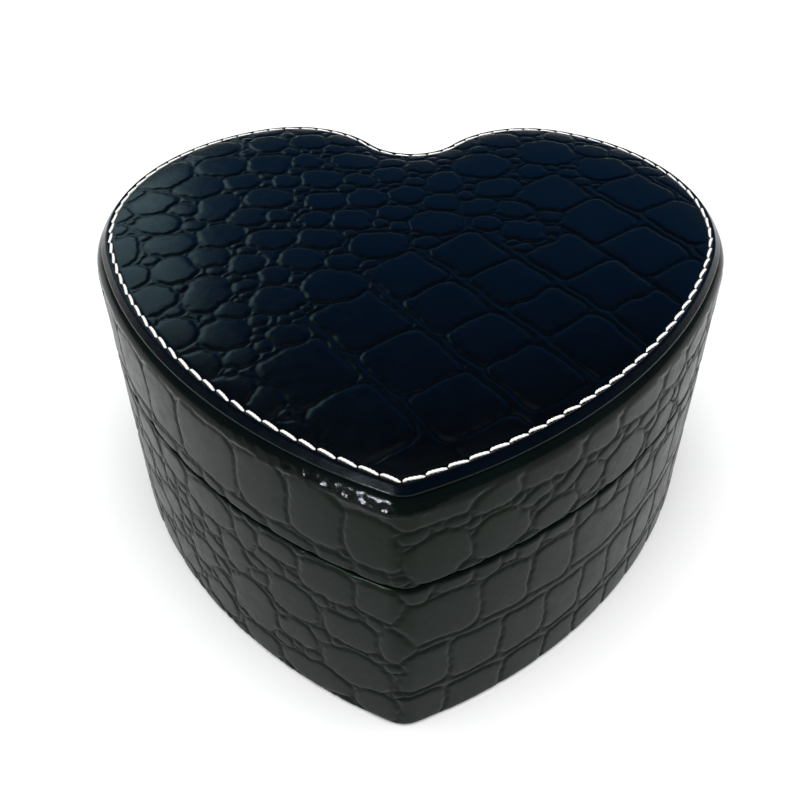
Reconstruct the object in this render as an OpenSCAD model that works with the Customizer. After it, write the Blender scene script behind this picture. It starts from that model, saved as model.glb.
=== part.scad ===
// Heart-shaped jewelry gift box: a wrapped fibreboard base with a lift-out tray,
// and a hinged lid with a stitched, padded top and a mirror inside.
// The pointed front looks toward -Y, the hinges are at the back, and the origin is
// on the table, under the middle of the closed box.

/* [Heart outline] */
// Widest width, across the two lobes
box_w = 175; // [165:1:200]
// Radius of the valley between the lobes
cleft_r = 13; // [11:0.5:16]
// Angle that the valley turns through, on each side
cleft_turn = 51; // [49:0.5:53]
// Radius at the back of each lobe
lobe_r = 34; // [32:0.5:38]
// Angle that the back of each lobe turns through
lobe_turn = 69.5; // [67:0.5:72]
// Radius round the outer side of each lobe
shoulder_r = 59; // [56:1:64]
// Angle that the outer side of each lobe turns through
shoulder_turn = 92; // [90:1:95]
// Angle that each long flank turns through
flank_turn = 46; // [43:1:49]
// Radius of the pointed front corner
tip_r = 9; // [8.5:0.5:12]

/* [Heights] */
// Height of the split between base and lid
split_z = 57; // [54:1:70]
// Height of the lid above the split, up to its rim
lid_h = 29.5; // [28:0.5:40]
// Gap between the base's edge and the lid's edge
split_gap = 0.3; // [0.2:0.1:1]
// Height that the padded top rises above the rim at its stitches
panel_h = 1.5; // [1.2:0.1:3]
// Further rise of the padding toward the middle
crown_h = 1.9; // [0.5:0.1:4]

/* [Boards and coverings] */
// Thickness of the embossed leather
leather_t = 1; // [0.8:0.1:1.2]
// Thickness of the floor and top boards
board_t = 3; // [2:0.5:4]
// Thickness of the lid's wall
lid_wall_t = 3.5; // [3:0.1:4]
// Thickness of the velvet lining
lining_t = 0.6; // [0.4:0.1:0.8]
// Thickness of the collar that locates the lid
collar_t = 1.2; // [1:0.1:1.5]
// Height of the collar above the split
collar_rise = 4; // [2:0.5:6]
// Gap between the collar and the lid's lining
collar_gap = 0.4; // [0.3:0.05:0.6]
// Radius of the lid's rolled rim
rim_r = 3.8; // [3.4:0.1:3.9]
// Distance from the outer wall to the stitches
stitch_inset = 4.8; // [4.5:0.1:5.5]
// Spacing of the stitches
stitch_pitch = 5.1; // [3:0.1:6]

/* [Tray] */
// Height of the lift-out tray
tray_h = 20; // [18:1:24]
// Thickness of the tray's walls and floor
tray_t = 2; // [1.5:0.5:2.5]
// Gap between the tray and the base's lining
tray_gap = 0.5; // [0.3:0.1:0.8]
// Number of ring rolls
rolls = 5; // [3:1:5]
// Width of the bed of ring rolls
roll_w = 76; // [60:1:80]

/* [Hinges] */
// Width of each hinge
hinge_w = 16; // [14:1:18]
// Length of each leaf's plate
leaf_l = 13; // [11:1:16]
// Radius of the barrel
barrel_r = 1.7; // [1.5:0.1:2]
// Radius of the hinge pin
pin_r = 0.8; // [0.6:0.1:0.9]
// Angle at which the stops meet
open_deg = 95; // [90:1:110]

/* [Hidden] */
$fn = 40;
eps = 0.02;
facet_deg = 5;

// Headings along the right half of the outline, from the valley to the tip.
h_lobe = cleft_turn - lobe_turn;
h_shoulder = h_lobe - shoulder_turn;
h_flank = h_shoulder - flank_turn;

// Scale that brings the outline to its stated width.
raw_shoulder_x = (cleft_r + lobe_r) * sin(cleft_turn) + (shoulder_r - lobe_r) * sin(h_lobe);
k = box_w / 2 / (raw_shoulder_x + shoulder_r);
r_cleft = k * cleft_r;
r_lobe = k * lobe_r;
r_shoulder = k * shoulder_r;
r_tip = k * tip_r;
r_flank = (r_shoulder * sin(h_shoulder) - k * raw_shoulder_x - r_tip * sin(h_flank))
    / (sin(h_shoulder) - sin(h_flank));

// Hinge places, measured from the line that touches the back of both lobes.
stop_half = open_deg / 2;
leaf_in = leather_t;
leaf_t = 1.2;
axis_out = leaf_t - leaf_in + barrel_r;
tab_r = 4.2;
tab_t = 1;
back_overhang = axis_out + max(barrel_r, tab_r * cos(stop_half));

// Arc centres, with the back of the lobes at back_y.
function normal(h) = [-sin(h), cos(h)];
lobe_x = (r_cleft + r_lobe) * sin(cleft_turn);
rel_lobe = [lobe_x, -r_lobe];
rel_cleft = [0, -r_lobe + (r_cleft + r_lobe) * cos(cleft_turn)];
rel_shoulder = rel_lobe + (r_lobe - r_shoulder) * normal(h_lobe);
rel_flank = rel_shoulder + (r_shoulder - r_flank) * normal(h_shoulder);
rel_tip = rel_flank + (r_flank - r_tip) * normal(h_flank);
heart_d = r_tip - rel_tip[1];
back_y = (heart_d - back_overhang) / 2;
tip_y = back_y - heart_d;
widest_y = back_y + rel_shoulder[1];
shift = [0, back_y];

// Arcs of the right half at an inset: centre, radius, first and last heading, turn,
// steps. An inset past the tip's radius ends the flanks in a sharp corner.
function steps(turn) = ceil(abs(turn) / facet_deg);
function flank_end(d) = -180 - asin(rel_flank[0] / (r_flank - d));
function arcs(d) = let (sharp = d >= r_tip) concat(
    [
        [rel_cleft + shift, r_cleft + d, 0, cleft_turn, 1, steps(cleft_turn)],
        [rel_lobe + shift, r_lobe - d, cleft_turn, h_lobe, -1, steps(lobe_turn)],
        [rel_shoulder + shift, r_shoulder - d, h_lobe, h_shoulder, -1, steps(shoulder_turn)],
        [rel_flank + shift, r_flank - d, h_shoulder, sharp ? flank_end(d) : h_flank, -1,
            steps(flank_turn)]
    ],
    sharp ? [] : [[rel_tip + shift, r_tip - d, h_flank, -180, -1, steps(180 + h_flank)]]
);
function on_arc(a, h) = a[0] + a[1] * a[4] * [sin(h), -cos(h)];
function arc_points(a) = [for (i = [1:a[5]]) on_arc(a, a[2] + (a[3] - a[2]) * i / a[5])];
function right_half(d) = concat(
    [[0, back_y + rel_cleft[1] - r_cleft - d]],
    [for (a = arcs(d)) each arc_points(a)]
);
function flip(p) = [-p[0], p[1]];
function outline(d) = let (p = right_half(d), n = len(p))
    concat(p, [for (i = [n - 2:-1:1]) flip(p[i])]);
function scaled(p, s, c) = [for (q = p) c + s * (q - c)];

// Length along the right half, and the point and heading at a length.
function arc_len(a) = a[1] * abs(a[3] - a[2]) * PI / 180;
function total(v, i = 0) = i >= len(v) ? 0 : v[i] + total(v, i + 1);
function station(list, s, i = 0) = let (a = list[i], l = arc_len(a))
    s <= l || i == len(list) - 1
        ? let (h = a[2] + (a[3] - a[2]) * s / l) [on_arc(a, h), h]
        : station(list, s - l, i + 1);

// Levels
cover_t = 0.8;
wrap_z = 0.3;
turn_in = 6;
floor_z = cover_t + leather_t;
floor_top = floor_z + board_t;
pad_t = 2;
pad_top = floor_top + pad_t;
base_top = split_z - split_gap / 2;
lid_bottom = split_z + split_gap / 2;
rim_z = split_z + lid_h;
top_board_z = rim_z - leather_t - board_t;
ceiling_z = top_board_z - lining_t;
mirror_t = 1.8;
bezel_t = 2;
tray_z = split_z - 2 - tray_h;
tray_top = tray_z + tray_h;
tray_floor_z = tray_z + tray_t;
tray_pad_t = 1;
tray_pad_top = tray_floor_z + tray_pad_t;

// Insets from the outer wall
lid_wall_in = leather_t + lid_wall_t;
lid_room_in = lid_wall_in + lining_t;
collar_out = lid_room_in + collar_gap;
collar_in = collar_out + collar_t;
room_in = collar_in + lining_t;
ledge_in = room_in + 2.5;
tray_out = room_in + tray_gap;
tray_wall_in = tray_out + tray_t;
tray_room_in = tray_wall_in + lining_t;
mirror_in = 14;
bezel_in = 18;
panel_in = 2;
card_in = 2.8;
foam_in = 6.2;
card_t = 0.8;

// Compartments
cross_y = back_y - 92;
divider_t = 2.5;
tray_divider_x = roll_w / 2 + 0.3 + divider_t / 2;
divider_drop = 2;
valley_y = back_y + rel_cleft[1] - r_cleft - tray_room_in;
roll_room = valley_y - cross_y - divider_t / 2 - 0.6;
roll_pitch = roll_room / rolls;
roll_r = roll_pitch / 2 - 0.3;
roll_top = tray_top - 2.5;

// Closure and fasteners
closure_y = tip_y + leather_t + lid_wall_t / 2;
magnet_r = 1.5;
magnet_l = 4;
striker_r = 1.25;
striker_l = 5;
bore_r = pin_r + 0.04;
knuckle_l = 5;
knuckle_gap = 0.2;
screw_x = 5;
screw_z = 8;
screw_r = 0.8;
screw_head_r = 1.7;
screw_head_h = 0.85;
screw_depth = 3.2;

// Colours
croc_black = [0.11, 0.13, 0.13];
croc_navy = [0.06, 0.09, 0.15];
velvet = [0.16, 0.16, 0.19];
board = [0.62, 0.5, 0.36];
foam = [0.85, 0.83, 0.78];
card = [0.45, 0.43, 0.4];
thread = [0.93, 0.92, 0.88];
steel = [0.72, 0.73, 0.75];
brass_finish = [0.75, 0.7, 0.6];
glass = [0.8, 0.86, 0.9];
ribbon = [0.1, 0.1, 0.12];

// A flat heart at an inset, between two heights
module plate(inset, z0, z1) {
    translate([0, 0, z0])
        linear_extrude(height = z1 - z0)
            polygon(outline(inset));
}

// A heart-shaped band between two insets and two heights
module band(outer, inner, z0, z1) {
    translate([0, 0, z0])
        linear_extrude(height = z1 - z0)
            difference() {
                polygon(outline(outer));
                polygon(outline(inner));
            }
}

// A skin through a stack of outlines: closed round a section, or capped at both ends
module skin(rings, zs, round_section = false) {
    n = len(rings[0]);
    m = len(rings);
    points = [for (i = [0:m - 1], p = rings[i]) [p[0], p[1], zs[i]]];
    last = round_section ? m - 1 : m - 2;
    sides = [for (i = [0:last], j = [0:n - 1])
        let (a = i * n, b = (i + 1) % m * n, c = (j + 1) % n)
        [a + j, a + c, b + c, b + j]];
    caps = round_section ? [] : [
        [for (j = [n - 1:-1:0]) j],
        [for (j = [0:n - 1]) (m - 1) * n + j]
    ];
    polyhedron(points, concat(sides, caps), convexity = 6);
}

// A band with any section, given as inset and height pairs
module section_band(section) {
    skin([for (s = section) outline(s[0])], [for (s = section) s[1]], true);
}

// A heart-shaped slab with a shaped edge, given as inset and height pairs
module edged_plate(section) {
    skin([for (s = section) outline(s[0])], [for (s = section) s[1]]);
}

// A quarter round in the rim, from its side to its top
function rim_arc(r, n) = [for (i = [0:n])
    [rim_r - r * cos(90 * i / n), rim_z - rim_r + r * sin(90 * i / n)]];

// Base ------------------------------------------------------------------------
module base_bottom_cover() {
    color(velvet) plate(1.5, 0, cover_t);
}

module base_floor() {
    color(board) plate(collar_out, floor_z, floor_top);
}

module base_wall() {
    color(board)
        difference() {
            band(leather_t, collar_out, floor_z, base_top - leather_t);
            magnet_space(base_top - leather_t - magnet_l, magnet_r, magnet_l + 1);
            screw_holes(-1);
        }
}

module base_side_wrap() {
    color(croc_black)
        difference() {
            union() {
                band(0, leather_t, wrap_z, base_top);
                band(leather_t, collar_out, base_top - leather_t, base_top);
                band(leather_t, turn_in, cover_t, floor_z);
            }
            leaf_notches(-1);
        }
}

module base_collar() {
    color(card) band(collar_out, collar_in, floor_top, split_z + collar_rise);
}

module base_wall_lining() {
    color(velvet) band(collar_in, room_in, floor_top, split_z + collar_rise);
}

module base_floor_pad() {
    color(velvet) plate(room_in, floor_top, pad_top);
}

module base_tray_ledge() {
    color(velvet) band(room_in, ledge_in, pad_top, tray_z);
}

module base_cross_divider() {
    color(velvet)
        divider(ledge_in, pad_top, tray_z - 0.5)
            translate([-box_w / 2, cross_y - divider_t / 2])
                square([box_w, divider_t]);
}

module base_long_divider() {
    color(velvet)
        divider(ledge_in, pad_top, tray_z - 0.5)
            translate([-divider_t / 2, cross_y + divider_t / 2])
                square([divider_t, heart_d]);
}

// A straight divider, cut to the heart at an inset
module divider(inset, z0, z1) {
    translate([0, 0, z0])
        linear_extrude(height = z1 - z0)
            intersection() {
                polygon(outline(inset));
                children();
            }
}

module magnet_space(z, r, l) {
    translate([0, closure_y, z])
        cylinder(r = r + eps, h = l);
}

module base_magnet() {
    color(steel)
        translate([0, closure_y, base_top - leather_t - magnet_l])
            cylinder(r = magnet_r, h = magnet_l);
}

// Hinges ----------------------------------------------------------------------
// Each leaf is drawn about its own axis with its plate hanging down; the lid's is
// the same plate turned up, with the middle knuckle in place of the outer two.
module hinge_place(side) {
    translate([side * lobe_x, back_y + axis_out, split_z])
        children();
}

module along_x(r, x0, x1) {
    translate([x0, 0, 0])
        rotate([0, 90, 0])
            cylinder(r = r, h = x1 - x0);
}

// A length of knuckle, with the neck that joins it to the plate
module knuckle(x0, x1) {
    along_x(barrel_r, x0, x1);
    translate([x0, -axis_out - leaf_in, -barrel_r])
        cube([x1 - x0, axis_out + leaf_in, barrel_r - 0.75]);
}

module leaf_plate() {
    translate([-hinge_w / 2, -axis_out - leaf_in, -leaf_l])
        cube([hinge_w, leaf_t, leaf_l - 0.75]);
}

module leaf_screw_cuts() {
    for (x = [-screw_x, screw_x])
        translate([x, leaf_t - leaf_in - axis_out + eps, -screw_z])
            rotate([90, 0, 0]) {
                cylinder(r = screw_r + 0.05, h = 3);
                cylinder(r1 = screw_head_r + 0.05, r2 = screw_r + 0.05, h = screw_head_h + 0.05);
            }
}

module base_leaf() {
    inner = hinge_w / 2 - knuckle_l;
    difference() {
        union() {
            leaf_plate();
            knuckle(-hinge_w / 2, -inner);
            knuckle(inner, hinge_w / 2);
            rotate([-stop_half, 0, 0])
                translate([-hinge_w / 2, barrel_r - 0.4, -tab_t])
                    cube([hinge_w, tab_r - barrel_r + 0.4, tab_t - 0.05]);
        }
        along_x(barrel_r + knuckle_gap, -inner, inner);
        along_x(bore_r, -hinge_w, hinge_w);
        leaf_screw_cuts();
    }
}

module lid_leaf() {
    inner = hinge_w / 2 - knuckle_l - knuckle_gap;
    difference() {
        union() {
            difference() {
                leaf_plate();
                along_x(barrel_r + knuckle_gap, -hinge_w, hinge_w);
            }
            knuckle(-inner, inner);
            rotate([-stop_half, 0, 0])
                translate([-inner, barrel_r - 0.4, -tab_t])
                    cube([2 * inner, tab_r - barrel_r + 0.4, tab_t - 0.05]);
        }
        along_x(bore_r, -hinge_w, hinge_w);
        leaf_screw_cuts();
    }
}

module hinge_base_leaf_left() {
    color(brass_finish) hinge_place(-1) base_leaf();
}

module hinge_base_leaf_right() {
    color(brass_finish) hinge_place(1) base_leaf();
}

module hinge_lid_leaf_left() {
    color(brass_finish) hinge_place(-1) mirror([0, 0, 1]) lid_leaf();
}

module hinge_lid_leaf_right() {
    color(brass_finish) hinge_place(1) mirror([0, 0, 1]) lid_leaf();
}

module hinge_pin() {
    head_h = 0.5;
    along_x(pin_r, -hinge_w / 2 - head_h / 2, hinge_w / 2 + head_h / 2);
    for (s = [-1, 1])
        translate([s * (hinge_w / 2 + head_h / 2 + eps), 0, 0])
            along_x(1.3, -head_h / 2, head_h / 2);
}

module hinge_pin_left() {
    color(steel) hinge_place(-1) hinge_pin();
}

module hinge_pin_right() {
    color(steel) hinge_place(1) hinge_pin();
}

// Screws of both hinges, below the split for the base and above it for the lid
module at_screws(level) {
    for (side = [-1, 1], x = [-screw_x, screw_x])
        translate([side * lobe_x + x, back_y + leaf_t - leaf_in, split_z + level * screw_z])
            rotate([90, 0, 0])
                children();
}

module screw() {
    cylinder(r = screw_r, h = leaf_t + screw_depth);
    cylinder(r1 = screw_head_r, r2 = screw_r, h = screw_head_h);
}

module screw_holes(level) {
    at_screws(level) cylinder(r = screw_r + eps, h = leaf_t + screw_depth + eps);
}

module hinge_base_screws() {
    color(steel) at_screws(-1) screw();
}

module hinge_lid_screws() {
    color(steel) at_screws(1) screw();
}

// Cut-outs in the leather, behind the plates
module leaf_notches(level) {
    for (side = [-1, 1])
        translate([side * lobe_x - hinge_w / 2 - 0.1, back_y - 3,
                level < 0 ? split_z - leaf_l - 0.1 : split_z - 1])
            cube([hinge_w + 0.2, 6, leaf_l + 1.1]);
}

// Lid -------------------------------------------------------------------------
module lid_wall() {
    color(board)
        difference() {
            band(leather_t, lid_wall_in, lid_bottom + leather_t, top_board_z);
            magnet_space(lid_bottom, striker_r, striker_l + leather_t);
            screw_holes(1);
        }
}

module lid_top_board() {
    color(board)
        edged_plate(concat(
            [[leather_t, top_board_z]],
            rim_arc(rim_r - leather_t, 2)
        ));
}

module lid_side_wrap() {
    inner_arc = rim_arc(rim_r - leather_t, 2);
    color(croc_black)
        difference() {
            section_band(concat(
                [[0, lid_bottom]],
                rim_arc(rim_r, 4),
                [[turn_in, rim_z], [turn_in, rim_z - leather_t]],
                [for (i = [2:-1:0]) inner_arc[i]],
                [
                    [leather_t, lid_bottom + leather_t],
                    [lid_wall_in, lid_bottom + leather_t],
                    [lid_wall_in, lid_bottom]
                ]
            ));
            leaf_notches(1);
        }
}

module lid_panel_card() {
    color(card) plate(card_in, rim_z, rim_z + card_t);
}

// Rings and heights of a low crown over a heart, from its edge to its middle
crown_steps = [1, 0.9, 0.75, 0.5, 0.2];
crown_middle = [0, back_y - heart_d * 0.42];
function crown_rings(inset) = [for (s = crown_steps) scaled(outline(inset), s, crown_middle)];
function crown_zs(z) = [for (s = crown_steps) z + crown_h * (1 - pow(s, 4))];
function reversed(v) = [for (i = [len(v) - 1:-1:0]) v[i]];

module lid_top_foam() {
    card_top = rim_z + card_t;
    color(foam)
        skin(
            concat([outline(foam_in)], crown_rings(foam_in)),
            concat([card_top], [for (z = crown_zs(card_top)) z + 0.1])
        );
}

// The leather runs over the foam, round the edge of the card and back under it
module lid_top_panel() {
    card_top = rim_z + card_t;
    top = rim_z + panel_h;
    edge = [
        [foam_in, card_top], [card_in, card_top], [card_in, rim_z], [panel_in, rim_z],
        [panel_in, top - 0.7], [panel_in + 0.3, top - 0.2], [panel_in + 0.9, top]
    ];
    color(croc_navy)
        skin(
            concat(
                reversed(crown_rings(foam_in)),
                [for (e = edge) outline(e[0])],
                crown_rings(stitch_inset + 1)
            ),
            concat(
                [for (z = reversed(crown_zs(card_top))) z + 0.1],
                [for (e = edge) e[1]],
                crown_zs(top)
            )
        );
}

module lid_stitching() {
    path = arcs(stitch_inset);
    run = total([for (a = path) arc_len(a)]);
    count = round(run / stitch_pitch);
    slant = 8;
    stitch_l = stitch_pitch - 0.9;
    stitch_w = 0.8;
    stitch_h = 0.4;
    color(thread)
        for (i = [0:count - 1], side = [0, 1])
            mirror([side, 0, 0]) {
                at = station(path, (i + 0.5) * run / count);
                translate([at[0][0], at[0][1], rim_z + panel_h])
                    rotate([0, 0, at[1] + slant])
                        translate([-stitch_l / 2, -stitch_w / 2, 0])
                            cube([stitch_l, stitch_w, stitch_h]);
            }
}

module lid_wall_lining() {
    color(velvet) band(lid_wall_in, lid_room_in, lid_bottom, ceiling_z);
}

module lid_ceiling_lining() {
    color(velvet) plate(lid_wall_in, ceiling_z, top_board_z);
}

module lid_mirror() {
    color(glass) plate(mirror_in, ceiling_z - mirror_t, ceiling_z);
}

module lid_mirror_bezel() {
    face_z = ceiling_z - mirror_t;
    color(velvet)
        union() {
            band(lid_room_in, mirror_in, face_z, ceiling_z);
            band(lid_room_in, bezel_in, face_z - bezel_t, face_z);
        }
}

module lid_striker_pin() {
    color(steel)
        translate([0, closure_y, lid_bottom + leather_t])
            cylinder(r = striker_r, h = striker_l);
}

// Tray ------------------------------------------------------------------------
module tray_floor() {
    color(board) plate(tray_out, tray_z, tray_floor_z);
}

module tray_wall() {
    color(velvet) band(tray_out, tray_wall_in, tray_floor_z, tray_top);
}

module tray_lining() {
    color(velvet) band(tray_wall_in, tray_room_in, tray_floor_z, tray_top);
}

module tray_floor_pad() {
    color(velvet) plate(tray_room_in, tray_floor_z, tray_pad_top);
}

module tray_cross_divider() {
    color(velvet)
        divider(tray_room_in, tray_pad_top, tray_top - divider_drop)
            translate([-box_w / 2, cross_y - divider_t / 2])
                square([box_w, divider_t]);
}

module tray_divider(side) {
    color(velvet)
        divider(tray_room_in, tray_pad_top, tray_top - divider_drop)
            translate([side * tray_divider_x - divider_t / 2, cross_y + divider_t / 2])
                square([divider_t, heart_d]);
}

module tray_divider_left() {
    tray_divider(-1);
}

module tray_divider_right() {
    tray_divider(1);
}

// One foam roll covered in velvet, round on top and square below
module ring_roll(i) {
    y = cross_y + divider_t / 2 + 0.3 + (i - 0.5) * roll_pitch;
    if (i <= rolls)
        color(velvet)
            translate([-roll_w / 2, y, 0])
                rotate([90, 0, 90])
                    linear_extrude(height = roll_w)
                        union() {
                            translate([0, roll_top - roll_r])
                                circle(r = roll_r);
                            translate([-roll_r, tray_pad_top])
                                square([2 * roll_r, roll_top - roll_r - tray_pad_top]);
                        }
}

// A ribbon tab, sewn to the lining, that folds over into the tray
module pull_tab(side) {
    ribbon_t = 0.8;
    ribbon_w = 12;
    wall_curve = ribbon_w * ribbon_w / 8 / (r_shoulder - tray_room_in);
    wall_x = box_w / 2 - tray_room_in - wall_curve - 0.05;
    top = tray_top + 1.2;
    color(ribbon)
        mirror([side < 0 ? 1 : 0, 0, 0])
            translate([0, widest_y + ribbon_w / 2, 0])
                rotate([90, 0, 0])
                    linear_extrude(height = ribbon_w)
                        polygon([
                            [wall_x, tray_top - 6],
                            [wall_x, top - 1],
                            [wall_x - 1, top],
                            [wall_x - 3, top],
                            [wall_x - 16, top - 6],
                            [wall_x - 15.7, top - 6.8],
                            [wall_x - 3, top - ribbon_t],
                            [wall_x - ribbon_t, top - ribbon_t],
                            [wall_x - ribbon_t, tray_top - 6]
                        ]);
}

module tray_pull_tab_left() {
    pull_tab(-1);
}

module tray_pull_tab_right() {
    pull_tab(1);
}

base_bottom_cover();
base_floor();
base_wall();
base_side_wrap();
base_collar();
base_wall_lining();
base_floor_pad();
base_tray_ledge();
base_cross_divider();
base_long_divider();
base_magnet();
hinge_base_leaf_left();
hinge_base_leaf_right();
hinge_pin_left();
hinge_pin_right();
hinge_base_screws();
lid_wall();
lid_top_board();
lid_side_wrap();
lid_panel_card();
lid_top_foam();
lid_top_panel();
lid_stitching();
lid_wall_lining();
lid_ceiling_lining();
lid_mirror();
lid_mirror_bezel();
lid_striker_pin();
hinge_lid_leaf_left();
hinge_lid_leaf_right();
hinge_lid_screws();
tray_floor();
tray_wall();
tray_lining();
tray_floor_pad();
tray_cross_divider();
tray_divider_left();
tray_divider_right();
ring_roll(1);  // tray_ring_roll_1
ring_roll(2);  // tray_ring_roll_2
ring_roll(3);  // tray_ring_roll_3
ring_roll(4);  // tray_ring_roll_4
ring_roll(5);  // tray_ring_roll_5
tray_pull_tab_left();
tray_pull_tab_right();
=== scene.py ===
"""Looks of a heart-shaped jewelry box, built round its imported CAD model.

The box is measured in millimetres and degrees, and its lengths become metres where a mesh is
made. Lights, the floor and the depth of bumps are in metres. The box's point is toward -Y,
its hinges are toward +Y, and Z is up."""

import math

import bmesh
import bpy
import numpy as np
from mathutils import Matrix, Vector, geometry, kdtree


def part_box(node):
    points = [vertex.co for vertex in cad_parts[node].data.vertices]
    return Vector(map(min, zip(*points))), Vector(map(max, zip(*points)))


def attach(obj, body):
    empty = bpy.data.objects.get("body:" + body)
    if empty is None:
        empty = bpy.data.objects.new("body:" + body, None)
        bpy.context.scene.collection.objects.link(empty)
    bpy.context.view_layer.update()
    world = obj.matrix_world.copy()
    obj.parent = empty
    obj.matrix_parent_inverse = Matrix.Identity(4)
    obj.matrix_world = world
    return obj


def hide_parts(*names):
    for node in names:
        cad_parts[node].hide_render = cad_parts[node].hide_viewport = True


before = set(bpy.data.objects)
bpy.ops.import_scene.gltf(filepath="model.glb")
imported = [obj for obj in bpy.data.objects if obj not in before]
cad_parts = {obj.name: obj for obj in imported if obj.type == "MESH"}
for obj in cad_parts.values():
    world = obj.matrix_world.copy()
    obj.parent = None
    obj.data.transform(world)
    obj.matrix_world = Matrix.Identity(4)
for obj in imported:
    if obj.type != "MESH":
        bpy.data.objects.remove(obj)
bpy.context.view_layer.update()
MM = 0.001
LOW, HIGH = 0, 1
X, Y, Z = 0, 1, 2


def edge_of(node, side, axis):
    """Where a CAD node begins (LOW) or ends (HIGH) along an axis."""
    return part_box(node)[side][axis] / MM


def span(node, axis):
    """Where a CAD node begins and where it ends along an axis."""
    return edge_of(node, LOW, axis), edge_of(node, HIGH, axis)


def width_of(node):
    """How wide a CAD node is from left to right."""
    left, right = span(node, X)
    return right - left


# ---------------------------------------------------------------- places taken from the frame
BACK_Y = edge_of("base_side_wrap", HIGH, Y)
WIDTH = width_of("base_side_wrap")
BASE_BOTTOM, BASE_TOP = span("base_side_wrap", Z)
LID_BOTTOM, RIM_Z = span("lid_side_wrap", Z)
STITCH_Z = edge_of("lid_stitching", LOW, Z)
FLOOR_BOTTOM, FLOOR_TOP = span("base_floor", Z)
COLLAR_TOP = edge_of("base_collar", HIGH, Z)
CEILING_Z = edge_of("lid_ceiling_lining", LOW, Z)
SPLIT_Z = (BASE_TOP + LID_BOTTOM) / 2


def inset_of(node):
    """How far a CAD node's outer wall lies inside the box's side, seen from above."""
    return (WIDTH - width_of(node)) / 2


LEATHER_T = inset_of("base_wall")
LID_LINING_IN = inset_of("lid_wall_lining")
LID_ROOM_IN = inset_of("lid_mirror_bezel")
COLLAR_OUT = inset_of("base_collar")
COLLAR_IN = inset_of("base_wall_lining")
ROOM_IN = inset_of("base_tray_ledge")
LEDGE_IN = ROOM_IN + 2.5
PANEL_IN = inset_of("lid_top_panel")
MIRROR_IN = inset_of("lid_mirror")
TRAY_OUT = inset_of("tray_wall")
TRAY_ROOM_IN = inset_of("tray_floor_pad")


# ---------------------------------------------------------------- the outline
# Radius and turn of each stretch of the right half, from the valley between the lobes to the
# tip. The flank's radius is worked out, so that both halves meet at the tip.
VALLEY, LOBE, SHOULDER = (13, 51), (34, 69.5), (59, 92)
FLANK_TURN = 46
TIP_R = 9


def normal_of(heading):
    """The outward normal where the outline runs along a heading."""
    a = np.radians(heading)
    return np.stack([-np.sin(a), np.cos(a)], -1)


class Heart:
    """The outline. A place on it is s, the length from the tip: positive toward +X round to
    the valley, and negative on the other side."""

    def __init__(self, width, back_y):
        turn = VALLEY[1]
        headings = [0, turn, turn - LOBE[1], turn - LOBE[1] - SHOULDER[1]]
        headings += [headings[3] - FLANK_TURN, -180]
        sines = [math.sin(math.radians(h)) for h in headings]
        shoulder_x = (VALLEY[0] + LOBE[0]) * sines[1] + (SHOULDER[0] - LOBE[0]) * sines[2]
        scale = width / 2 / (shoulder_x + SHOULDER[0])
        flank = (SHOULDER[0] * sines[3] - shoulder_x - TIP_R * sines[4]) / (sines[3] - sines[4])
        radii = scale * np.array([VALLEY[0], LOBE[0], SHOULDER[0], flank, TIP_R])
        join = [normal_of(h) for h in headings]
        centres = [None, np.array([(radii[0] + radii[1]) * sines[1], back_y - radii[1]])]
        centres[0] = centres[1] + (radii[0] + radii[1]) * join[1]
        centres[0][0] = 0
        for i in (2, 3, 4):
            centres.append(centres[i - 1] + (radii[i - 1] - radii[i]) * join[i])
        self.radii, self.centres, self.headings = radii, np.array(centres), np.array(headings)
        self.signs = np.array([-1, 1, 1, 1, 1])
        turns = np.abs(np.diff(self.headings))
        self.starts = np.concatenate([[0], np.cumsum(np.radians(turns) * radii)])
        self.half = self.starts[-1]
        self.tip_r = radii[4]

    def at(self, s, inset=0.0):
        """Points and outward normals at lengths s, moved inward by an inset."""
        s = np.asarray(s, float)
        t = np.clip(self.half - np.abs(s), 0, self.half)
        i = np.clip(np.searchsorted(self.starts, t, side="right") - 1, 0, 4)
        share = (t - self.starts[i]) / (self.starts[i + 1] - self.starts[i])
        heading = self.headings[i] + share * (self.headings[i + 1] - self.headings[i])
        normal = normal_of(heading)
        point = self.centres[i] + (self.signs[i] * self.radii[i])[..., None] * normal
        point = point - np.asarray(inset)[..., None] * normal
        inset = np.broadcast_to(inset, s.shape)
        past = (point[..., 0] < 0) & (inset > self.tip_r * 0.999)
        flank_r = self.radii[3] - inset
        corner = self.centres[3][1] - np.sqrt(flank_r ** 2 - self.centres[3][0] ** 2)
        point[..., 1] = np.where(past, corner, point[..., 1])
        point[..., 0] = np.where(past, 0, point[..., 0])
        side = np.where(s < 0, -1, 1)
        point[..., 0] *= side
        normal[..., 0] *= side
        return point, normal

    def stations(self, spacing):
        """Evenly spaced lengths round the whole outline, once round."""
        count = 2 * round(self.half / spacing)
        return -self.half + 2 * self.half * (np.arange(count) + 0.5) / count


HEART = Heart(WIDTH, BACK_Y)


# ---------------------------------------------------------------- meshes
def smooth_step(x, low, high):
    """0 up to low, 1 from high on, and an even rise between them."""
    t = np.clip((x - low) / (high - low), 0, 1)
    return t * t * (3 - 2 * t)


def full_turn(count):
    """Angles in radians, evenly spaced once round."""
    return np.linspace(0, 2 * math.pi, count, endpoint=False)


def side_by_side(start, widths):
    """Where each of a row of things begins, and its width."""
    for width in widths:
        yield start, width
        start += width


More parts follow.
